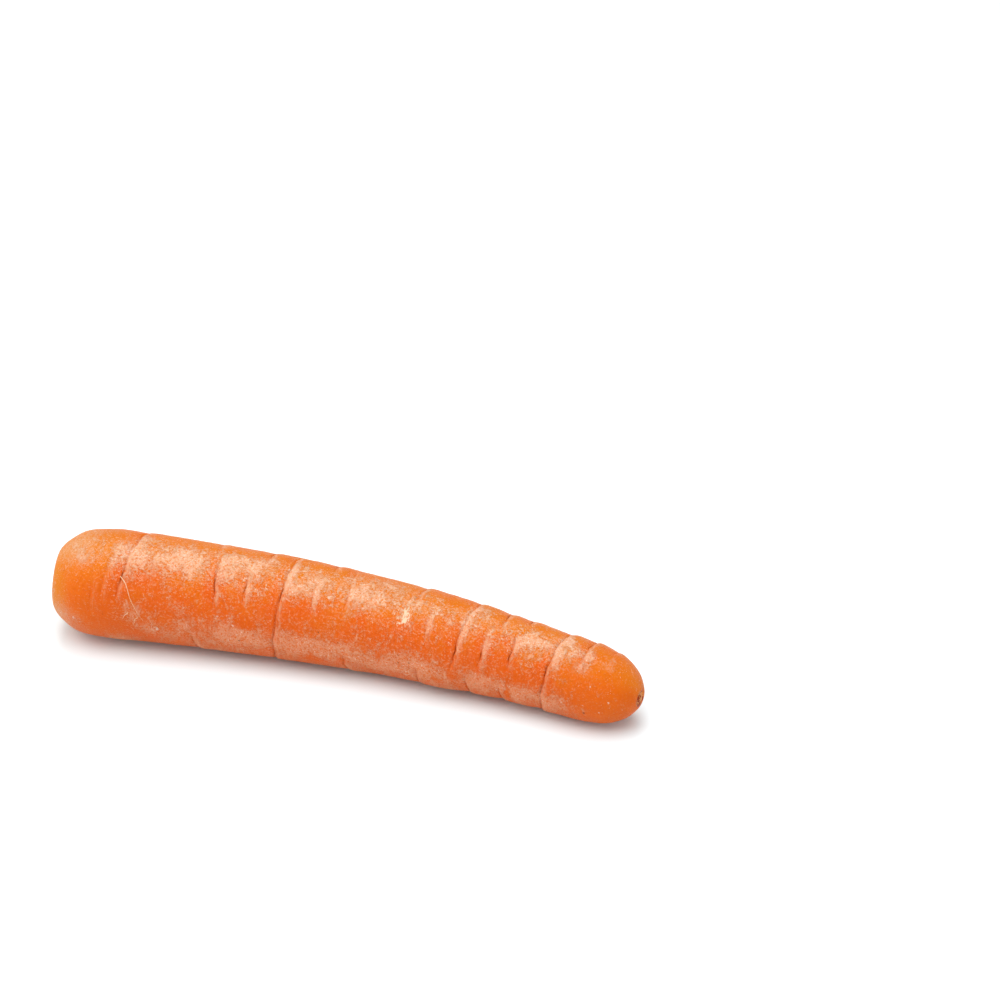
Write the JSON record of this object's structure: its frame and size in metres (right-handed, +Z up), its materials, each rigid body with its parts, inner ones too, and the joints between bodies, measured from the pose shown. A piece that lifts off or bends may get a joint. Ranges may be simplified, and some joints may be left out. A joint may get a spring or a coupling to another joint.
{
  "type": "carrot",
  "caption": "Whole fresh carrot lying on its side, blunt tipped and gently bent, ringed by growth creases, with its leaf stalks cut off short in the hollow of the crown.",
  "frame": {"origin": "middle of the footprint, on the surface that the carrot lies on", "axes": "+X from the crown to the tip, +Z up, and the middle of the root bows towards +Y"},
  "size_m": [0.1918, 0.0392, 0.0347],
  "materials": {
    "root_skin": "moist carrot skin, satin, with a pale dry bloom on the ridges",
    "cut_leaf_stalk": "dry fibrous plant stalk, matt"
  },
  "bodies": {
    "root": {"root": "root_skin", "leaf_stalks": "cut_leaf_stalk"}
  },
  "joints": []
}
